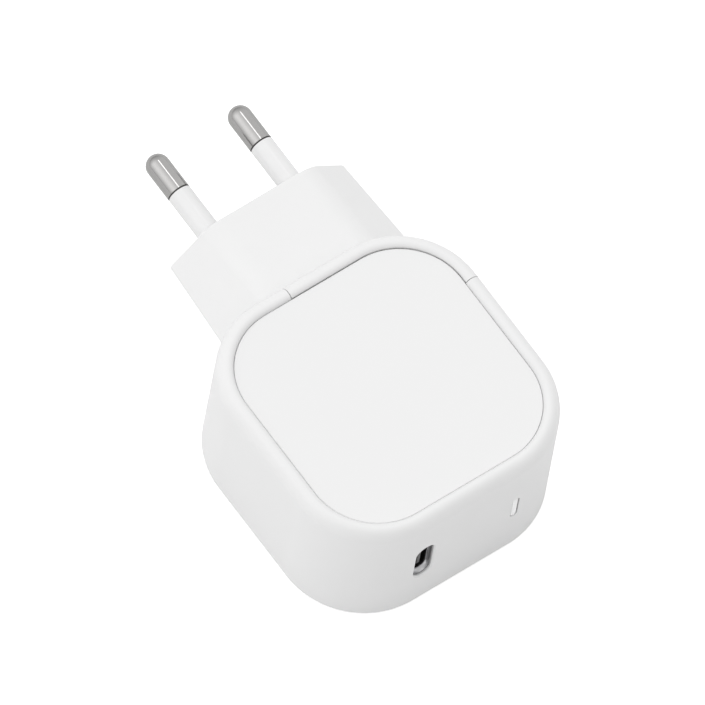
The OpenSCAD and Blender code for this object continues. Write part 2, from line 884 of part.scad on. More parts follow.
choke_r = 3.9;
choke_ring = 2.0;
choke_h = 4.0;
choke_wire = 0.6;
choke_turns = 7;
choke_turn_w = 0.8;
choke_turn_angle = 18;
choke_out_r = choke_r + choke_ring / 2 + choke_wire + fit_gap;
choke_x = core_x + core_w / 2 + choke_out_r + slide_gap;
choke_y = front_y + 13;
choke_z = board_top + choke_h / 2 + choke_wire + 0.8;

module choke_core() {
  color("dimgray") translate([choke_x, choke_y, choke_z]) rotate_extrude()
    translate([choke_r - choke_ring / 2, -choke_h / 2]) square([choke_ring, choke_h]);
}

// Turns of the choke's two coils, as bands round its ring
module choke_windings() {
  inside = [choke_ring + 2 * fit_gap, choke_turn_w + 1, choke_h + 2 * fit_gap];
  outside = [inside[0] + 2 * choke_wire, choke_turn_w, inside[2] + 2 * choke_wire];
  color("chocolate") translate([choke_x, choke_y, choke_z])
    for (side = [0, 180], i = [0:choke_turns - 1])
      rotate(side + (i - (choke_turns - 1) / 2) * choke_turn_angle) translate([choke_r, 0, 0])
        difference() {
          cube(outside, center = true);
          cube(inside, center = true);
        }
}

fuse_d = 3.4;
fuse_l = 9.0;
fuse_lift = 0.3;

module input_fuse() {
  color("sienna")
    translate([inlet_x - 8, inner_seam_y - 7.8, board_top + fuse_lift + fuse_d / 2]) rotate([0, 90, 0])
      cylinder(d = fuse_d, h = fuse_l);
}

bridge_size = [8, 3, 9];
switch_size = [6, 8, 0.9];
rectifier_size = [6, 5, 1];
optocoupler_size = [4.4, 3.6, 2.2];

module bridge_rectifier() {
  color("black") block_on_board(inner_seam_x + 3.8, inner_seam_y - 3.6, bridge_size);
}

module power_switch() {
  color("black") block_on_board(inner_seam_x - 4.2, inner_seam_y - 13.4, switch_size);
}

module sync_rectifier() {
  color("black") block_on_board(core_x - 2, front_y + 5, rectifier_size);
}

module optocoupler() {
  color("black") block_on_board(port_x - 1.2, front_y + 13.8, optocoupler_size);
}

module heat_spreader() {
  color("silver") difference() {
    body_prism(wall + board_gap, spreader_z, spreader_z + spreader_t);
    corner_region(wall + board_gap, 0, far);
  }
}

pad_inset = 1.0;

module thermal_pad() {
  color("lightsteelblue")
    span([core_x - core_w / 2 + pad_inset, core_y - core_d / 2 + pad_inset, board_top + core_h],
      [core_x + core_w / 2 - pad_inset, core_y + core_d / 2 - pad_inset, spreader_z]);
}

housing();
top_panel();
base_cover();
indicator_lens();
port_bezel();
usb_port_shell();
usb_port_tongue();
usb_port_contacts();
main_board();
port_board();
led_board();
status_led();
pd_controller();
power_switch();
sync_rectifier();
optocoupler();
bridge_rectifier();
transformer_core();
transformer_bobbin();
transformer_winding();
bulk_capacitors();
output_capacitors();
x_capacitor();
y_capacitor();
choke_core();
choke_windings();
input_fuse();
heat_spreader();
thermal_pad();
insulating_sheet();
inlet_block();
inlet_pins();
inlet_leads();
latch_post();
post_nut();
head_shell();
head_cover();
pin_carrier();
mains_pin_left();
mains_pin_right();
pin_sleeve_left();
pin_sleeve_right();
contact_clips();
busbars();
latch_spring();
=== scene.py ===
from math import cos, pi, radians, sin, sqrt, tan

import bmesh
import bpy
from mathutils import Matrix, Vector


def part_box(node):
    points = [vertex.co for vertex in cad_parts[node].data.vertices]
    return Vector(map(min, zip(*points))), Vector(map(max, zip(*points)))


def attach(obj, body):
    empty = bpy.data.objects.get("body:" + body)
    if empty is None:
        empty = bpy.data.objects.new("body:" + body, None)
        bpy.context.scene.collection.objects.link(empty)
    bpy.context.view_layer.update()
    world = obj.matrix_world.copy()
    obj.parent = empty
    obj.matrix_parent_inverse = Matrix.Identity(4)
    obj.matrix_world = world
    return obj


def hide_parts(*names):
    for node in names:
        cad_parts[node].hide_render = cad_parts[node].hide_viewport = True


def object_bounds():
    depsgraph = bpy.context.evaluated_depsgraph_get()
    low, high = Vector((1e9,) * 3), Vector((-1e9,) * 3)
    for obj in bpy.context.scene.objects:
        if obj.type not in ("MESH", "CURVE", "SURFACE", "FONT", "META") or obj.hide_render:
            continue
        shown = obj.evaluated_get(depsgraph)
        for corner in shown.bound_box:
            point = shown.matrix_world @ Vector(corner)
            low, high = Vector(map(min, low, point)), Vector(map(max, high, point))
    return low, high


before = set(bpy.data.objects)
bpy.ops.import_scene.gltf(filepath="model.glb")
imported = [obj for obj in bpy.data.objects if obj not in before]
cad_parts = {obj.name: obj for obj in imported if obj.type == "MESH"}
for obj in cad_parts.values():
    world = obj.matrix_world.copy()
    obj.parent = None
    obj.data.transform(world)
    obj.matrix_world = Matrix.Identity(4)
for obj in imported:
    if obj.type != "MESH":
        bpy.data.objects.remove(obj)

cad_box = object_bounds()

# ---- View ---------------------------------------------------------------------------------------
# A long lens far off, so upright edges stay parallel: it looks down on the front-left corner, and
# the charger stands slightly rolled in the frame.

view_centre = Vector((-0.00251, 0.00860, 0.03316))
view_width = 0.1325
view_distance = 0.8
view_turn = radians(-45.2)
view_height = radians(62.2)
view_roll = radians(11.15)

camera_data = bpy.data.cameras.new("camera")
camera_data.type = "ORTHO"
camera_data.ortho_scale = view_width
camera_data.clip_start = 0.01
camera_data.clip_end = 10.0
camera = bpy.data.objects.new("camera", camera_data)
bpy.context.scene.collection.objects.link(camera)
turn = (Matrix.Rotation(view_turn, 4, "Z") @ Matrix.Rotation(pi / 2 - view_height, 4, "X")
        @ Matrix.Rotation(view_roll, 4, "Z"))
camera.matrix_world = Matrix.Translation(view_centre) @ turn @ Matrix.Translation((0, 0, view_distance))
bpy.context.scene.camera = camera

# ---- Studio -------------------------------------------------------------------------------------
# A white table inside a soft white tent. The tent is lit from outside, so it glows in broad patches:
# brightest behind and to the left, dimmest in front. One narrow strip light hangs over the pins.

tent_strength = 0.545
glows = {
    # name: (direction towards it, sharpness, strength)
    "key": ((-0.55, 0.42, 0.72), 3.0, 0.8),
    "left": ((-0.72, 0.15, 0.68), 8.0, 0.38),
    "top": ((0.0, 0.0, 1.0), 3.0, 0.25),
    "right": ((0.9, 0.2, 0.4), 3.0, 0.54),
    "front": ((0.0, -0.62, 0.78), 6.0, 0.14),
    "below": ((0.0, 0.0, -1.0), 0.05, 0.7),
}
strip_aim = (0.220, 0.329, 0.918)
strip_distance = 1.0
strip_width = 0.08
strip_length = 0.4
strip_power = 0.38

tent = bpy.data.worlds.new("tent")
tent.use_nodes = True
bpy.context.scene.world = tent
tent_nodes = tent.node_tree.nodes
tent_links = tent.node_tree.links
outward = tent_nodes.new("ShaderNodeTexCoord").outputs["Generated"]
tent_sum = None
for name, (direction, sharpness, strength) in glows.items():
    facing = tent_nodes.new("ShaderNodeVectorMath")
    facing.operation = "DOT_PRODUCT"
    tent_links.new(outward, facing.inputs[0])
    facing.inputs[1].default_value = Vector(direction).normalized()
    chain = facing.outputs["Value"]
    for operation, value in (("MAXIMUM", 0.0), ("POWER", sharpness), ("MULTIPLY", strength)):
        step = tent_nodes.new("ShaderNodeMath")
        step.operation = operation
        step.inputs[1].default_value = value
        tent_links.new(chain, step.inputs[0])
        chain = step.outputs[0]
    add = tent_nodes.new("ShaderNodeMath")
    add.operation = "ADD"
    tent_links.new(chain, add.inputs[0])
    if tent_sum is None:
        add.inputs[1].default_value = tent_strength
    else:
        tent_links.new(tent_sum, add.inputs[1])
    tent_sum = add.outputs[0]
tent_links.new(tent_sum, tent_nodes["Background"].inputs["Strength"])
tent_nodes["Background"].inputs["Color"].default_value = (1.0, 1.0, 1.0, 1.0)
bpy.context.scene.view_settings.view_transform = "Standard"

strip_data = bpy.data.lights.new("strip_light", "AREA")
strip_data.shape = "RECTANGLE"
strip_data.size = strip_width
strip_data.size_y = strip_length
strip_data.energy = strip_power
strip_light = bpy.data.objects.new("strip_light", strip_data)
strip_z = Vector(strip_aim).normalized()
strip_y = (Vector((0, 1, 0)) - strip_z * strip_z.y).normalized()
strip_light.matrix_world = (Matrix.Translation(view_centre + strip_z * strip_distance)
                            @ Matrix((strip_y.cross(strip_z), strip_y, strip_z)).transposed().to_4x4())
bpy.context.scene.collection.objects.link(strip_light)

table_size = 3.0
table_drop = 0.0001
table_seen_strength = 0.42
table_mesh = bpy.data.meshes.new("table")
half_table = table_size / 2
table_corners = [(-half_table, -half_table, 0), (half_table, -half_table, 0),
                 (half_table, half_table, 0), (-half_table, half_table, 0)]
table_mesh.from_pydata(table_corners, [], [(0, 1, 2, 3)])
table = bpy.data.objects.new("table", table_mesh)
table.location.z = cad_box[0][2] - table_drop
bpy.context.scene.collection.objects.link(table)

# The table is a backlit white sheet: seen directly it is clean white, and it lights the charger
# from below as plain matt white paint would.
table_paint = bpy.data.materials.new("table_paint")
table_paint.use_nodes = True
table_nodes = table_paint.node_tree.nodes
table_links = table_paint.node_tree.links
table_shader = table_nodes["Principled BSDF"]
table_shader.inputs["Base Color"].default_value = (0.9, 0.9, 0.9, 1)
table_shader.inputs["Roughness"].default_value = 0.9
table_shader.inputs["Emission Color"].default_value = (1, 1, 1, 1)
table_seen = table_nodes.new("ShaderNodeLightPath")
table_glow = table_nodes.new("ShaderNodeMath")
table_glow.operation = "MULTIPLY"
table_glow.inputs[1].default_value = table_seen_strength
table_links.new(table_seen.outputs["Is Camera Ray"], table_glow.inputs[0])
table_links.new(table_glow.outputs[0], table_shader.inputs["Emission Strength"])
table_mesh.materials.append(table_paint)

# ---- Housing ------------------------------------------------------------------------------------
# The body's shell: one deep tub moulded in white polycarbonate, with fine spark texture on its
# walls and a round rim about the top. One corner is left open, and the plug head fills it.

housing_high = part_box("housing")[1]
panel_low, panel_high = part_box("top_panel")
head_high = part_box("head_shell")[1]

body_half = housing_high[0]
corner_radius = 0.0171
body_wall = 0.0020
crest_height = housing_high[2]
rim_width = body_half - panel_high[0]
rim_inner_width = 0.00125
rim_inner_drop = 0.0009
rim_outer_width = rim_width - rim_inner_width
rim_outer_drop = 0.0032
panel_gap = 0.00005
recess_height = panel_low[2]
bottom_edge_radius = 0.0008
web_thickness = 0.0014
web_height = recess_height - web_thickness
seam_gap = 0.00015
seam_x = -0.0049
seam_y = 0.0098
slide_gap = 0.0002
middle_height = sum(corner[2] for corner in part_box("pin_sleeve_left")) / 2
corner_steps = 24


def body_ring(inset, z):
    """Points round the body's own outline, moved in by inset, at height z."""
    radius = corner_radius - inset
    centre = body_half - corner_radius
    points = []
    for quarter in range(4):
        for step in range(corner_steps + 1):
            angle = pi / 2 * (quarter + step / corner_steps)
            sx = 1 if quarter in (0, 3) else -1
            sy = 1 if quarter in (0, 1) else -1
            points.append((sx * centre + radius * cos(angle), sy * centre + radius * sin(angle), z))
    return points


def solid(name, rings, looped=False):
    """Closed skin through rings with equal numbers of points; a looped one closes on its first ring."""
    skin = bmesh.new()
    rows = [[skin.verts.new(point) for point in ring] for ring in rings]
    pairs = list(zip(rows, rows[1:]))
    if looped:
        pairs.append((rows[-1], rows[0]))
    count = len(rings[0])
    for first, second in pairs:
        for i in range(count):
            j = (i + 1) % count
            skin.faces.new((first[i], first[j], second[j], second[i]))
    if not looped:
        skin.faces.new(rows[0])
        skin.faces.new(rows[-1])
    bmesh.ops.recalc_face_normals(skin, faces=skin.faces)
    mesh = bpy.data.meshes.new(name)
    skin.to_mesh(mesh)
    skin.free()
    piece = bpy.data.objects.new(name, mesh)
    bpy.context.scene.collection.objects.link(piece)
    return piece


def block(name, low, high):
    """Straight-sided cutter between two corners."""
    outline = [(low[0], low[1]), (high[0], low[1]), (high[0], high[1]), (low[0], high[1])]
    return solid(name, [[(x, y, z) for x, y in outline] for z in (low[2], high[2])])


def carve(piece, tool, how="DIFFERENCE"):
    """Cuts tool out of piece, or joins or keeps what they share, and uses the tool up."""
    step = piece.modifiers.new("carve", "BOOLEAN")
    step.operation = how
    step.solver = "EXACT"
    step.object = tool
    bpy.context.view_layer.update()
    shaped = bpy.data.meshes.new_from_object(piece.evaluated_get(bpy.context.evaluated_depsgraph_get()))
    piece.modifiers.clear()
    old = piece.data
    piece.data = shaped
    bpy.data.meshes.remove(old)
    bpy.data.objects.remove(tool)


def smooth(piece, sharp_degrees=32):
    """Smooth shading that breaks at the real edges."""
    piece.data.shade_smooth()
    piece.data.set_sharp_from_angle(angle=radians(sharp_degrees))
    weights = piece.modifiers.new("even_shading", "WEIGHTED_NORMAL")
    weights.keep_sharp = True


def slot_ring(x, z, width, height, y, steps=16):
    """Upright slot outline with round ends, in the plane at y."""
    radius = width / 2
    rise = (height - width) / 2
    points = []
    for end in (1, -1):
        for step in range(steps + 1):
            angle = pi * step / steps + (0 if end == 1 else pi)
            points.append((x + radius * cos(angle), y, z + end * rise + radius * sin(angle)))
    return points


def circle_ring(x, z, radius, y, steps=48):
    """Round outline in the plane at y."""
    return [(x + radius * cos(2 * pi * i / steps), y, z + radius * sin(2 * pi * i / steps))
            for i in range(steps)]


def arc(steps, start, end):
    """Angles from start to end in degrees, both included, in radians."""
    return [radians(start + (end - start) * i / steps) for i in range(steps + 1)]


def body_profile():
    """Inset and height of each ring of the body's outside, from the bottom edge to the recess."""
    rings = []
    for angle in arc(6, -90, 0):
        rings.append((bottom_edge_radius * (1 - cos(angle)), bottom_edge_radius * (1 + sin(angle))))
    for angle in arc(18, 0, 90):
        rings.append((rim_outer_width * (1 - cos(angle)),
                      crest_height - rim_outer_drop * (1 - sin(angle))))
    for angle in arc(12, 90, 180)[1:]:
        rings.append((rim_outer_width - (rim_inner_width - panel_gap) * cos(angle),
                      crest_height - rim_inner_drop * (1 - sin(angle))))
    rings.append((rim_width - panel_gap, recess_height))
    return rings


def body_blank(name):
    """The whole body's outside, before either shell is cut from it."""
    return solid(name, [body_ring(inset, z) for inset, z in body_profile()])


def prism(name, inset, z0, z1):
    """Upright block on the body's outline moved in by inset."""
    return solid(name, [body_ring(inset, z0), body_ring(inset, z1)])


# Cutters run to reach where they only have to pass everything, and past a face by overrun.
reach = 0.2
overrun = 0.001
cover_step = 0.0008
cover_thickness = 0.0020
inlet_low, inlet_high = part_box("inlet_block")
post_low, post_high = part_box("latch_post")
port_x = sum(corner[0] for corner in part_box("port_bezel")) / 2
port_width = 0.00405
port_height = 0.0111
port_chamfer = 0.00028
lens_x = sum(corner[0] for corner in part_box("indicator_lens")) / 2
lens_width = 0.0016
lens_height = 0.0070
front = -body_half

housing = body_blank("housing_shell")
hollow = prism("hollow", body_wall, -overrun, web_height)
carve(hollow, block("keep", (seam_x - body_wall, seam_y - body_wall, -reach), (reach, reach, reach)))
step_hollow = prism("step_hollow", body_wall - cover_step, -overrun, cover_thickness)
carve(step_hollow, block("keep", (seam_x - body_wall + cover_step, seam_y - body_wall + cover_step, -reach),
                         (reach, reach, reach)))
carve(housing, hollow)
carve(housing, step_hollow)
notch = block("notch", (seam_x, seam_y, -reach), (reach, reach, reach))
carve(notch, prism("shelf", rim_width, web_height, reach))
carve(housing, notch)
carve(housing, solid("port_hole", [
    slot_ring(port_x, middle_height, port_width + 4 * port_chamfer, port_height + 4 * port_chamfer,
              front - port_chamfer),
    slot_ring(port_x, middle_height, port_width + 2 * port_chamfer, port_height + 2 * port_chamfer, front),
    slot_ring(port_x, middle_height, port_width, port_height, front + port_chamfer),
    slot_ring(port_x, middle_height, port_width, port_height, front + 2 * body_wall)]))
lens_chamfer = 0.00012
carve(housing, solid("lens_hole", [
    slot_ring(lens_x, middle_height, lens_width + 4 * lens_chamfer, lens_height + 4 * lens_chamfer,
              front - lens_chamfer),
    slot_ring(lens_x, middle_height, lens_width, lens_height, front + lens_chamfer),
    slot_ring(lens_x, middle_height, lens_width, lens_height, front + 2 * body_wall)]))
inlet_flange = 0.0020
inlet_rise = 0.0010
carve(housing, block("inlet_opening",
                     (inlet_low[0] + inlet_flange, seam_y - 2 * body_wall, inlet_low[2] + inlet_rise),
                     (inlet_high[0] - inlet_flange, seam_y + body_wall, inlet_high[2] - inlet_rise)))
smooth(housing)
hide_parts("housing")
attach(housing, "adapter")


def effect_group(name, inputs, outputs):
    """Empty node group with named sockets; inputs maps a name to its socket type and value."""
    group = bpy.data.node_groups.new(name, "ShaderNodeTree")
    for label, (kind, value) in inputs.items():
        socket = group.interface.new_socket(name=label, in_out="INPUT", socket_type="NodeSocket" + kind)
        socket.default_value = value
    for label, kind in outputs.items():
        group.interface.new_socket(name=label, in_out="OUTPUT", socket_type="NodeSocket" + kind)
    return group, group.nodes.new("NodeGroupInput"), group.nodes.new("NodeGroupOutput")


def math(tree, operation, first, second):
    """Math node on two sockets or numbers; returns its result."""
    node = tree.nodes.new("ShaderNodeMath")
    node.operation = operation
    for socket, value in zip(node.inputs, (first, second)):
        if isinstance(value, (int, float)):
            socket.default_value = value
        else:
            tree.links.new(value, socket)
    return node.outputs[0]


def tint(tree, blend, factor, first, second):
    """Colour mix of two sockets or colours; returns its result."""
    node = tree.nodes.new("ShaderNodeMix")
    node.data_type = "RGBA"
    node.blend_type = blend
    for socket, value in zip((node.inputs[0], node.inputs[6], node.inputs[7]), (factor, first, second)):
        if isinstance(value, (int, float, tuple)):
            socket.default_value = value
        else:
            tree.links.new(value, socket)
    return node.outputs[2]


def noise(tree, scale, detail=2.0, stretch=None):
    """Noise on the piece's own coordinates in metres; returns its value."""
    place = tree.nodes.new("ShaderNodeTexCoord").outputs["Object"]
    if stretch:
        mapping = tree.nodes.new("ShaderNodeMapping")
        mapping.inputs["Scale"].default_value = stretch
        tree.links.new(place, mapping.inputs["Vector"])
        place = mapping.outputs["Vector"]
    node = tree.nodes.new("ShaderNodeTexNoise")
    node.inputs["Detail"].default_value = detail
    tree.links.new(place, node.inputs["Vector"])
    if isinstance(scale, (int, float)):
        node.inputs["Scale"].default_value = scale
    else:
        tree.links.new(scale, node.inputs["Scale"])
    return node.outputs["Fac"]


# Moulded finish: fine grain for bump, and slow cloudiness in tone and gloss from the flow of the melt.
moulded, m_in, m_out = effect_group("moulded_finish", {
    "Colour": ("Color", (0.8, 0.8, 0.8, 1)), "Cloud": ("Float", 0.02), "Cloud Scale": ("Float", 60.0),
    "Grain Scale": ("Float", 5000.0), "Roughness": ("Float", 0.4), "Roughness Change": ("Float", 0.06),
}, {"Colour": "Color", "Roughness": "Float", "Height": "Float"})
cloud = noise(moulded, m_in.outputs["Cloud Scale"], 3.0)
grain = noise(moulded, m_in.outputs["Grain Scale"], 2.0)
dark = math(moulded, "SUBTRACT", 1.0, math(moulded, "MULTIPLY", cloud, m_in.outputs["Cloud"]))
grey = moulded.nodes.new("ShaderNodeCombineColor")
for channel in grey.inputs:
    moulded.links.new(dark, channel)
moulded.links.new(tint(moulded, "MULTIPLY", 1.0, m_in.outputs["Colour"], grey.outputs[0]),
                  m_out.inputs["Colour"])
change = math(moulded, "MULTIPLY", math(moulded, "SUBTRACT", math(
    moulded, "MULTIPLY", math(moulded, "ADD", cloud, grain), 0.5), 0.5), m_in.outputs["Roughness Change"])
moulded.links.new(math(moulded, "ADD", m_in.outputs["Roughness"], change), m_out.inputs["Roughness"])
moulded.links.new(grain, m_out.inputs["Height"])

# Handled edges: a mask along the edges, where hands and sockets rub the plastic smoother.
handled, h_in, h_out = effect_group("handled_edges", {
    "Radius": ("Float", 0.0004), "Patch Scale": ("Float", 300.0)}, {"Mask": "Float"})
round_over = handled.nodes.new("ShaderNodeBevel")
round_over.samples = 4
handled.links.new(h_in.outputs["Radius"], round_over.inputs["Radius"])
true_side = handled.nodes.new("ShaderNodeNewGeometry")
alike = handled.nodes.new("ShaderNodeVectorMath")
alike.operation = "DOT_PRODUCT"
handled.links.new(round_over.outputs["Normal"], alike.inputs[0])
handled.links.new(true_side.outputs["Normal"], alike.inputs[1])
edge = math(handled, "MULTIPLY", math(handled, "SUBTRACT", 1.0, alike.outputs["Value"]), 6.0)
patchy = math(handled, "MULTIPLY", edge, noise(handled, h_in.outputs["Patch Scale"], 2.0))
handled.links.new(math(handled, "MINIMUM", patchy, 1.0), h_out.inputs["Mask"])


def plastic(name, colour, roughness, grain_size, grain_depth, cloud=0.03, worn=0.10, rough_change=0.08):
    """Moulded plastic with grain, cloudiness and edges rubbed a little smoother."""
    material = bpy.data.materials.new(name)
    material.use_nodes = True
    tree = material.node_tree
    shader = tree.nodes["Principled BSDF"]
    skin = tree.nodes.new("ShaderNodeGroup")
    skin.node_tree = moulded
    for label, value in (("Colour", colour + (1,)), ("Cloud", cloud), ("Grain Scale", 1 / grain_size),
                         ("Roughness", roughness), ("Roughness Change", rough_change)):
        skin.inputs[label].default_value = value
    rub = tree.nodes.new("ShaderNodeGroup")
    rub.node_tree = handled
    tree.links.new(skin.outputs["Colour"], shader.inputs["Base Color"])
    smoother = math(tree, "MULTIPLY", rub.outputs["Mask"], worn)
    tree.links.new(math(tree, "SUBTRACT", skin.outputs["Roughness"], smoother), shader.inputs["Roughness"])
    bump = tree.nodes.new("ShaderNodeBump")
    bump.inputs["Strength"].default_value = 0.6
    bump.inputs["Distance"].default_value = grain_depth
    tree.links.new(skin.outputs["Height"], bump.inputs["Height"])
    tree.links.new(bump.outputs["Normal"], shader.inputs["Normal"])
    return material


def dress(piece, material):
    """Gives the whole piece one material."""
    piece.data.materials.clear()
    piece.data.materials.append(material)


def dress_node(name, material):
    """Gives a carried-over CAD node its material."""
    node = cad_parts[name]
    if not node.material_slots:
        node.data.materials.append(material)
    for holder in node.material_slots:
        holder.material = material


white_plastic = plastic("white_spark_plastic", (0.80, 0.80, 0.80), 0.42, 0.00022, 0.000012)
white_plastic.node_tree.nodes["Principled BSDF"].inputs["Specular IOR Level"].default_value = 0.45
dress(housing, white_plastic)

# ---- Base cover ---------------------------------------------------------------------------------
# The plate that closes the tub, ultrasonically welded into the step round its bottom edge. It
# carries the four standoffs that the main board sits on.

dress_node("base_cover", white_plastic)

# ---- Top panel ----------------------------------------------------------------------------------
# A polished plate of white acrylic, bonded into the recess. Its edge has a small round so that it
# drops in cleanly, and its face shows a trace of flow and faint wiping marks.

panel_edge_radius = 0.00018
panel_inset = rim_width


def panel_profile():
    """Inset and height of each ring of the panel, from its lower face up to its rounded edge."""
    rings = [(panel_inset, recess_height), (panel_inset, panel_high[2] - panel_edge_radius)]
    for angle in arc(5, 0, 90)[1:]:
        rings.append((panel_inset + panel_edge_radius * (1 - cos(angle)),
                      panel_high[2] - panel_edge_radius * (1 - sin(angle))))
    return rings


top_panel = solid("gloss_panel", [body_ring(inset, z) for inset, z in panel_profile()])
smooth(top_panel)
gloss_white = plastic("polished_white", (0.80, 0.80, 0.80), 0.07, 0.0035, 0.0000025, 0.012, 0.0, 0.05)
polish = gloss_white.node_tree.nodes["Principled BSDF"]
polish.inputs["Coat Weight"].default_value = 0.6
polish.inputs["Coat Roughness"].default_value = 0.03
dress(top_panel, gloss_white)
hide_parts("top_panel")
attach(top_panel, "adapter")

# ---- Indicator ----------------------------------------------------------------------------------
# A milky light guide pressed in from inside: its face lies a hair below the wall, and its flange
# is glued behind it.

lens_recess = 0.0002
lens_gap = 0.00018
lens_edge = 0.00012
lens_flange = 0.0010
lens_flange_depth = 0.0010
flange_clearance = 0.0001
lens_face_y = front + lens_recess
lens_back_y = front + body_wall + flange_clearance


def lens_ring(inset, y):
    """Outline of the light guide moved in by inset, at y."""
    return slot_ring(lens_x, middle_height, lens_width - 2 * (lens_gap + inset),
                     lens_height - 2 * (lens_gap + inset), y)


flange_inset = 0.6 * (lens_gap - lens_flange)
indicator = solid("light_guide", [
    lens_ring(lens_edge, lens_face_y),
    lens_ring(lens_edge * 0.3, lens_face_y + lens_edge * 0.3),
    lens_ring(0, lens_face_y + lens_edge),
    lens_ring(0, lens_back_y),
    lens_ring(flange_inset, lens_back_y),
    lens_ring(flange_inset, lens_back_y - flange_clearance + lens_flange_depth)])
smooth(indicator)
milky = plastic("milky_guide", (0.93, 0.93, 0.93), 0.25, 0.0008, 0.000003, 0.01, 0.0)
milk = milky.node_tree.nodes["Principled BSDF"]
milk.inputs["Subsurface Weight"].default_value = 0.35
milk.inputs["Subsurface Radius"].default_value = (0.0008, 0.0008, 0.0008)
milk.inputs["Emission Color"].default_value = (1, 1, 1, 1)
milk.inputs["Emission Strength"].default_value = 0.04
dress(indicator, milky)

# The side of the guide away from the port (faces towards +x) is painted near-black: painted shade standing in
# for the shadow in the gap between guide and wall.
gap_shade_paint = plastic("painted_gap_shade", (0.06, 0.06, 0.06), 0.6, 0.0005, 0.000003)
indicator.data.materials.append(gap_shade_paint)
for face in indicator.data.polygons:
    if face.normal.x > 0.5:
        face.material_index = 1
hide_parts("indicator_lens")
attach(indicator, "adapter")

# ---- Charging port ------------------------------------------------------------------------------
# A drawn steel funnel lines the opening and closes on to the receptacle's mouth. Behind it are the
# receptacle's folded shell and the black tongue with its gold strips.

port_fit = 0.00005
shell_width = 0.00326
shell_height = 0.00894
shell_wall = 0.0003
shell_low, shell_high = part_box("usb_port_shell")
bezel_low, bezel_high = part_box("port_bezel")
bezel_wall = 0.00025
bezel_flange = 0.0008
lip_depth = 0.6 * bezel_wall


def port_ring(width, height, y):
    """Outline about the port's middle, at y."""
    return slot_ring(port_x, middle_height, width, height, y, 24)


def funnel_rings():
    """Outside from the back to the mouth, then the inside back down to the receptacle."""
    wide, tall = port_width - 2 * port_fit, port_height - 2 * port_fit
    mouth_y, back_y = bezel_low[1], bezel_high[1]
    flange_y = back_y - bezel_flange + flange_clearance
    flange_grow = 0.9 * bezel_flange
    rings = [port_ring(wide + flange_grow, tall + flange_grow, back_y),
             port_ring(wide + flange_grow, tall + flange_grow, flange_y),
             port_ring(wide, tall, flange_y)]
    for angle in arc(4, 0, 180):
        inset = bezel_wall / 2 * (1 - cos(angle))
        rings.append(port_ring(wide - 2 * inset, tall - 2 * inset,
                               mouth_y + bezel_wall / 2 * (1 - sin(angle))))
    throat_w, throat_h = shell_width + 2 * port_fit, shell_height + 2 * port_fit
    mouth_w, mouth_h = wide - 2 * bezel_wall, tall - 2 * bezel_wall
    for angle in arc(6, 0, 90)[1:]:
        share = 1 - cos(angle)
        depth = mouth_y + bezel_wall / 2 + (shell_low[1] - mouth_y - bezel_wall / 2) * sin(angle)
        rings.append(port_ring(mouth_w + (throat_w - mouth_w) * share,
                               mouth_h + (throat_h - mouth_h) * share, depth))
    rings.append(port_ring(throat_w, throat_h, back_y))
    return rings


port_funnel = solid("port_funnel", funnel_rings(), looped=True)
smooth(port_funnel, 40)


def metal(name, colour, roughness, streak, stretch, depth, change=0.12, edge=1.0):
    """Bare or plated metal with fine directional marks."""
    material = bpy.data.materials.new(name)
    material.use_nodes = True
    tree = material.node_tree
    shader = tree.nodes["Principled BSDF"]
    shader.inputs["Metallic"].default_value = 1.0
    shader.inputs["Specular Tint"].default_value = (edge, edge, edge, 1)
    marks = noise(tree, streak, 3.0, stretch)
    tone = tree.nodes.new("ShaderNodeValToRGB")
    tone.color_ramp.elements[0].color = tuple(c * 0.92 for c in colour) + (1,)
    tone.color_ramp.elements[1].color = colour + (1,)
    tree.links.new(marks, tone.inputs["Fac"])
    tree.links.new(tone.outputs["Color"], shader.inputs["Base Color"])
    wander = math(tree, "MULTIPLY", math(tree, "SUBTRACT", marks, 0.5), change)
    tree.links.new(math(tree, "ADD", wander, roughness), shader.inputs["Roughness"])
    bump = tree.nodes.new("ShaderNodeBump")
    bump.inputs["Strength"].default_value = 0.5
    bump.inputs["Distance"].default_value = depth
    tree.links.new(marks, bump.inputs["Height"])
    tree.links.new(bump.outputs["Normal"], shader.inputs["Normal"])
    return material


drawn_steel = metal("drawn_steel", (0.62, 0.62, 0.63), 0.34, 2500, (1, 0.08, 1), 0.000004)
dress(port_funnel, drawn_steel)
# Painted shade: the funnel's lip at the mouth gets dark metal, standing in for the shadow on the rim of the
# opening.
lip_shade_paint = metal("shaded_lip", (0.22, 0.22, 0.225), 0.4, 2500, (1, 0.08, 1), 0.000004)
port_funnel.data.materials.append(lip_shade_paint)
for face in port_funnel.data.polygons:
    if face.center.y < bezel_low[1] + lip_depth:
        face.material_index = 1
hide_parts("port_bezel")
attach(port_funnel, "adapter")

receptacle = solid("receptacle_shell", [
    port_ring(shell_width, shell_height, shell_high[1]),
    port_ring(shell_width, shell_height, shell_low[1] + shell_wall / 2),
    port_ring(shell_width - 0.6 * shell_wall, shell_height - 0.6 * shell_wall, shell_low[1]),
    port_ring(shell_width - 1.4 * shell_wall, shell_height - 1.4 * shell_wall, shell_low[1]),
    port_ring(shell_width - 2 * shell_wall, shell_height - 2 * shell_wall, shell_low[1] + shell_wall / 2),
    port_ring(shell_width - 2 * shell_wall, shell_height - 2 * shell_wall, shell_high[1])], looped=True)
smooth(receptacle, 40)
dress(receptacle, drawn_steel)
# Painted shade: the shell's inward-facing faces get near-black metal for the darkness deep inside the
# receptacle.
inner_shade_paint = metal("painted_inner_shade", (0.05, 0.05, 0.05), 0.5, 2500, (1, 0.08, 1), 0.000004)
receptacle.data.materials.append(inner_shade_paint)
half_straight = (shell_height - shell_width) / 2
for face in receptacle.data.polygons:
    off_middle = face.center - Vector((port_x, face.center.y, middle_height))
    off_middle.z -= max(-half_straight, min(half_straight, off_middle.z))
    if face.normal.dot(off_middle) < -0.3 * off_middle.length:
        face.material_index = 1
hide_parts("usb_port_shell")
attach(receptacle, "adapter")

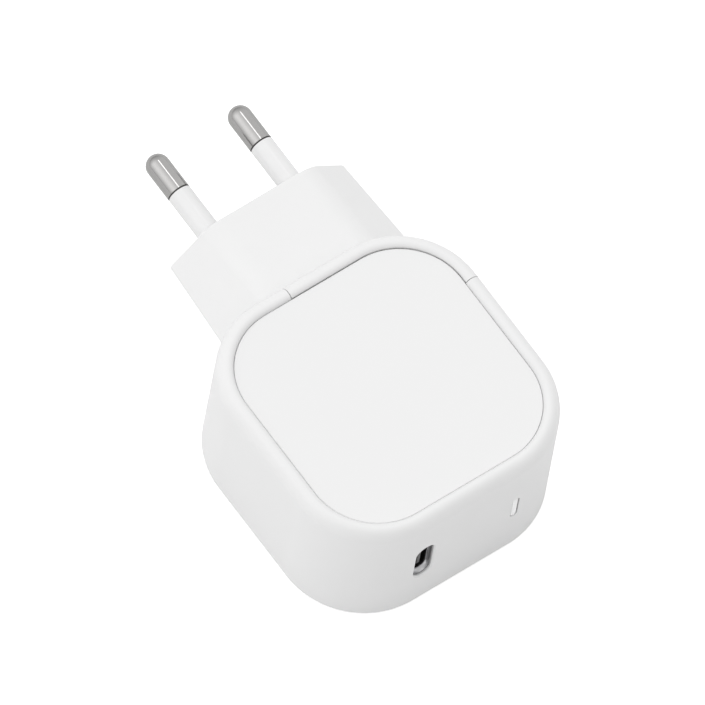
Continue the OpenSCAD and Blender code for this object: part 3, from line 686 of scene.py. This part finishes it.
dark_plastic = plastic("black_moulding", (0.012, 0.012, 0.012), 0.45, 0.0001, 0.000004)
dress_node("usb_port_tongue", plastic("tongue_moulding", (0.10, 0.10, 0.10), 0.4, 0.0001, 0.000004))
dress_node("usb_port_contacts", metal("gold_flash", (0.90, 0.68, 0.28), 0.25, 3000, (1, 0.2, 1), 0.000002))

# ---- Circuit ------------------------------------------------------------------------------------
# The main board lies on the cover's standoffs, over a sheet of fish paper. The port's board and the
# indicator's board stand in slots in it, and an aluminium spreader lies under the tub's web.

board_mask = plastic("green_solder_mask", (0.012, 0.075, 0.03), 0.35, 0.0003, 0.000006, 0.25)
board_tree = board_mask.node_tree
tracks = board_tree.nodes.new("ShaderNodeTexBrick")
tracks.offset = 0.35
for label, value in (("Scale", 260.0), ("Mortar Size", 0.012), ("Color1", (0.012, 0.075, 0.03, 1)),
                     ("Color2", (0.014, 0.09, 0.036, 1)), ("Mortar", (0.05, 0.2, 0.08, 1))):
    tracks.inputs[label].default_value = value
board_tree.links.new(board_tree.nodes.new("ShaderNodeTexCoord").outputs["Object"], tracks.inputs["Vector"])
board_shader = board_tree.nodes["Principled BSDF"]
old_colour = board_shader.inputs["Base Color"].links[0].from_socket
board_tree.links.new(tint(board_tree, "MIX", 0.7, old_colour, tracks.outputs["Color"]),
                     board_shader.inputs["Base Color"])
for name in ("main_board", "port_board", "led_board"):
    dress_node(name, board_mask)

chip_epoxy = plastic("chip_epoxy", (0.02, 0.02, 0.022), 0.5, 0.00006, 0.000004, 0.3)
for name in ("pd_controller", "power_switch", "sync_rectifier", "optocoupler", "bridge_rectifier"):
    dress_node(name, chip_epoxy)
ferrite = plastic("sintered_ferrite", (0.035, 0.035, 0.038), 0.6, 0.00009, 0.00001, 0.3)
for name in ("transformer_core", "choke_core"):
    dress_node(name, ferrite)
dress_node("transformer_bobbin", dark_plastic)
dress_node("status_led", plastic("diode_body", (0.8, 0.79, 0.74), 0.3, 0.0001, 0.000003))
dress_node("transformer_winding", plastic("yellow_tape", (0.75, 0.52, 0.06), 0.3, 0.0004, 0.00001, 0.15))
dress_node("bulk_capacitors", plastic("shrink_sleeve", (0.012, 0.018, 0.04), 0.22, 0.0005, 0.000004, 0.2))
dress_node("x_capacitor", plastic("filled_box", (0.70, 0.50, 0.07), 0.4, 0.0002, 0.000005, 0.1))
dress_node("y_capacitor", plastic("dipped_blue", (0.02, 0.08, 0.32), 0.3, 0.0006, 0.00002, 0.2))
dress_node("input_fuse", plastic("brown_sleeve", (0.09, 0.035, 0.015), 0.3, 0.0004, 0.000005, 0.2))
dress_node("thermal_pad", plastic("silicone_pad", (0.28, 0.33, 0.40), 0.7, 0.0002, 0.00002, 0.15))
dress_node("insulating_sheet", plastic("fish_paper", (0.45, 0.38, 0.22), 0.8, 0.0006, 0.00003, 0.3))
dress_node("output_capacitors", metal("drawn_can", (0.80, 0.80, 0.81), 0.28, 1500, (1, 1, 0.05), 0.000004))
dress_node("choke_windings", metal("enamelled_copper", (0.72, 0.30, 0.12), 0.3, 2500, (1, 1, 0.2), 0.00001))
dress_node("heat_spreader", metal("rolled_sheet", (0.82, 0.82, 0.83), 0.35, 1200, (0.04, 1, 1), 0.000006))

# ---- Inlet and latch ----------------------------------------------------------------------------
# Two nickel-plated pins in a black block point out of the notch's inner wall, and a T-headed steel
# post stands on its side wall, held by a nut inside. The plug head slides on to all three.

nickel = metal("satin_nickel", (0.41, 0.405, 0.40), 0.15, 3500, (0.03, 1, 0.03), 0.000002, 0.06, 0.85)
brass_strip = metal("stamped_brass", (0.80, 0.60, 0.25), 0.3, 1500, (1, 0.1, 1), 0.000004)
dress_node("inlet_block", dark_plastic)
for name in ("inlet_pins", "latch_post", "post_nut", "latch_spring"):
    dress_node(name, nickel)
for name in ("inlet_leads", "contact_clips", "busbars"):
    dress_node(name, brass_strip)

# ---- Plug head ----------------------------------------------------------------------------------
# One moulding in the tub's own plastic: the body's missing corner, with its length of rim, and the
# six-sided plug block. It is hollow, and its open front is closed by a welded plate.

head_wall = 0.0018
head_x = seam_x + seam_gap
head_y = seam_y + seam_gap
head_top = web_height - slide_gap
lip_gap = 0.00016
block_middle = 0.0055
block_half_width = 0.0200
block_half_height = 0.00855
block_end = head_high[1]
block_root_depth = 0.005
block_root = seam_y + block_root_depth
block_draft_degrees = 3.3
block_draft = tan(radians(block_draft_degrees))
tip_radius = 0.0006
ridge_radius = 0.0065
end_radius = 0.00045


def filleted(corners, radii, steps):
    """Outline through convex corners, each rounded by its own radius."""
    points = []
    count = len(corners)
    for i, (corner, radius) in enumerate(zip(corners, radii)):
        corner = Vector(corner)
        back = (Vector(corners[i - 1]) - corner).normalized()
        ahead = (Vector(corners[(i + 1) % count]) - corner).normalized()
        half = back.angle(ahead) / 2
        centre = corner + (back + ahead).normalized() * radius / sin(half)
        start = corner + back * radius / tan(half) - centre
        end = corner + ahead * radius / tan(half) - centre
        sweep = start.angle_signed(end)
        for step in range(steps + 1):
            points.append(centre + Matrix.Rotation(-sweep * step / steps, 2) @ start)
    return points


def plug_ring(inset, y, straight=False):
    """Six-sided outline of the block at y, moved in by inset; straight leaves the draft out."""
    grow = 0 if straight else (block_end - y) * block_draft
    half_height = block_half_height + grow - inset
    sharp = block_half_width + tip_radius * (sqrt(2) - 1) + grow - inset * sqrt(2)
    flat = sharp - half_height
    corners = [(sharp, 0), (flat, half_height), (-flat, half_height), (-sharp, 0),
               (-flat, -half_height), (flat, -half_height)]
    ridge = ridge_radius - head_wall if straight else ridge_radius
    radii = [tip_radius if z == 0 else ridge for x, z in corners]
    return [(block_middle + p.x, y, middle_height + p.y) for p in filleted(corners, radii, 6)]


pin_low, pin_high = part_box("mains_pin_left")
far_pin_low, far_pin_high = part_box("mains_pin_right")
pin_places = [(pin_low[0] + pin_high[0]) / 2, (far_pin_low[0] + far_pin_high[0]) / 2]
carrier_low, carrier_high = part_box("pin_carrier")
plinth_radius = 0.0030


def plinth_ring(radius, y):
    """Long outline with round ends about both mains pins, at y."""
    points = []
    for place, first in ((pin_places[1], -90), (pin_places[0], 90)):
        for angle in arc(16, first, first + 180):
            points.append((place + radius * cos(angle), y, middle_height + radius * sin(angle)))
    return points


block_rings = [plug_ring(0, block_root), plug_ring(0, block_end - end_radius)]
for angle in arc(6, 0, 90)[1:]:
    block_rings.append(plug_ring(end_radius * (1 - cos(angle)), block_end - end_radius * (1 - sin(angle))))
head_shell = solid("plug_head_shell", block_rings)
clearance = prism("clearance", -slide_gap, -overrun, reach)
carve(clearance, block("left_of_seam", (-reach, -reach, -reach), (head_x, reach, reach)), "INTERSECT")
carve(head_shell, clearance)
corner = body_blank("corner")
carve(corner, block("corner_region", (head_x, head_y, -reach), (reach, reach, reach)), "INTERSECT")
carve(corner, prism("under_panel", rim_width - lip_gap, head_top, reach))
carve(head_shell, corner, "UNION")

head_inside = prism("head_inside", body_wall, cover_thickness, head_top - head_wall)
carve(head_inside, block("inside_walls", (head_x + head_wall, -reach, -reach), (reach, reach, reach)),
      "INTERSECT")
carve(head_inside, block("open_front", (-reach, -reach, -reach), (reach, head_y - overrun, reach)))
carve(head_shell, head_inside)
carve(head_shell, solid("block_inside", [
    plug_ring(head_wall, body_half + slide_gap + head_wall, True),
    plug_ring(head_wall, block_end - head_wall, True)]))
deep_inside = solid("deep_inside", [plug_ring(head_wall, block_root, True),
                                    plug_ring(head_wall, block_end - 2 * head_wall, True)])
carve(deep_inside, block("right_of_wall", (head_x + head_wall, -reach, -reach), (reach, reach, reach)),
      "INTERSECT")
carve(head_shell, deep_inside)
fit_gap = 0.00005
carve(head_shell, solid("plinth_opening", [plinth_ring(plinth_radius + fit_gap, block_end - 2 * head_wall),
                                           plinth_ring(plinth_radius + fit_gap, block_end + head_wall)]))
post_middle = (post_low[1] + post_high[1]) / 2
post_shank_radius = 0.0015
post_slot_half = post_shank_radius + slide_gap


def slot_along_x(x0, x1):
    """Cutter for the latch post's shank: open at the head's front, round at its closed end."""
    outline = [(0.0, -post_slot_half)]
    for angle in arc(12, -90, 90):
        outline.append((post_middle + post_slot_half * cos(angle), post_slot_half * sin(angle)))
    outline.append((0.0, post_slot_half))
    return solid("post_slot", [[(x, y, middle_height + z) for y, z in outline] for x in (x0, x1)])


carve(head_shell, slot_along_x(head_x - overrun, head_x + head_wall + overrun))
smooth(head_shell)
dress(head_shell, white_plastic)
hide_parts("head_shell")
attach(head_shell, "plug_head")

# The front plate keeps its CAD shape: a flat moulding with two sockets and the mouth of the T-slot.
dress_node("head_cover", white_plastic)

# ---- Pin carrier --------------------------------------------------------------------------------
# An insulating block of glass-filled plastic moulded round the pins' roots. Its low plinth comes
# through the block's end face, and the socket's face meets it first.

plinth_edge = 0.0003
carrier_flange = 0.0020
carrier_flange_y = block_end - head_wall - fit_gap
carrier_rings = [plinth_ring(plinth_radius + carrier_flange, carrier_low[1]),
                 plinth_ring(plinth_radius + carrier_flange, carrier_flange_y),
                 plinth_ring(plinth_radius, carrier_flange_y)]
for angle in arc(5, 0, 90):
    carrier_rings.append(plinth_ring(plinth_radius - plinth_edge * (1 - cos(angle)),
                                     carrier_high[1] - plinth_edge * (1 - sin(angle))))
carrier = solid("carrier_moulding", carrier_rings)
pin_core_radius = 0.0018
pin_fit = 0.00002
for place in pin_places:
    carve(carrier, solid("root_bore", [
        circle_ring(place, middle_height, pin_core_radius + pin_fit, y)
        for y in (carrier_low[1] - overrun, carrier_high[1] + overrun)]))
smooth(carrier)
dress(carrier, white_plastic)
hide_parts("pin_carrier")
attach(carrier, "plug_head")

# ---- Mains pins ---------------------------------------------------------------------------------
# Turned brass pins, nickel plated: a riveted tail, a thin core under the white sleeve, and a bare
# round-ended tip. Sleeve and tip share one diameter, with a fine groove where they meet.

sleeve_low, sleeve_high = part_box("pin_sleeve_left")
pin_radius = (sleeve_high[0] - sleeve_low[0]) / 2
bare_y = sleeve_high[1]
tip_y = pin_high[1]
shoulder_edge = 0.00028
sleeve_edge = 0.00012
edge_margin = 0.00001
tail_radius = 0.0012


def bare_pin(name, place):
    """One pin, turned from its tail to its round tip."""
    outline = [(tail_radius, pin_low[1]), (tail_radius, carrier_low[1]), (pin_core_radius, carrier_low[1]),
               (pin_core_radius, bare_y)]
    for angle in arc(4, 180, 90):
        outline.append((pin_radius - shoulder_edge * (1 - sin(angle)),
                        bare_y + shoulder_edge * (1 + cos(angle))))
    for angle in arc(20, 0, 88.5):
        outline.append((pin_radius * cos(angle), tip_y - pin_radius * (1 - sin(angle))))
    return solid(name, [circle_ring(place, middle_height, radius, y) for radius, y in outline])


def sleeve(name, place):
    """Insulating tube round the pin's core, with eased ends."""
    bore = pin_core_radius + pin_fit
    outline = [(bore, sleeve_low[1]), (pin_radius - sleeve_edge, sleeve_low[1])]
    for angle in arc(4, -90, 0)[1:]:
        outline.append((pin_radius - sleeve_edge * (1 - cos(angle)),
                        sleeve_low[1] + sleeve_edge * (1 + sin(angle))))
    for angle in arc(4, 0, 90):
        outline.append((pin_radius - sleeve_edge * (1 - cos(angle)), bare_y - sleeve_edge * (1 - sin(angle))))
    outline.append((bore, bare_y))
    return solid(name, [circle_ring(place, middle_height, radius, y) for radius, y in outline], looped=True)


sleeve_plastic = plastic("sleeve_plastic", (0.78, 0.78, 0.78), 0.22, 0.0006, 0.000003, 0.03)
# Painted shade: near-black metal standing in for the shadow in the fine groove between sleeve and tip.
groove_shade_paint = metal("painted_groove_shade", (0.09, 0.088, 0.085), 0.5, 3500, (0.03, 1, 0.03), 0.000002)
for side, place in zip(("left", "right"), pin_places):
    for piece, node, material, finish_slot in (
            (bare_pin("bare_pin_" + side, place), "mains_pin_" + side, nickel, "nickel"),
            (sleeve("sleeve_" + side, place), "pin_sleeve_" + side, sleeve_plastic, "sleeve_plastic")):
        smooth(piece, 30)
        dress(piece, material)
        # The tip's shoulder faces at the groove get the painted shade.
        if material is nickel:
            piece.data.materials.append(groove_shade_paint)
            for face in piece.data.polygons:
                if bare_y - edge_margin < face.center.y < bare_y + shoulder_edge:
                    face.material_index = 1
        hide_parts(node)
        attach(piece, "plug_head")

# ---- Final update -------------------------------------------------------------------------------

bpy.context.view_layer.update()
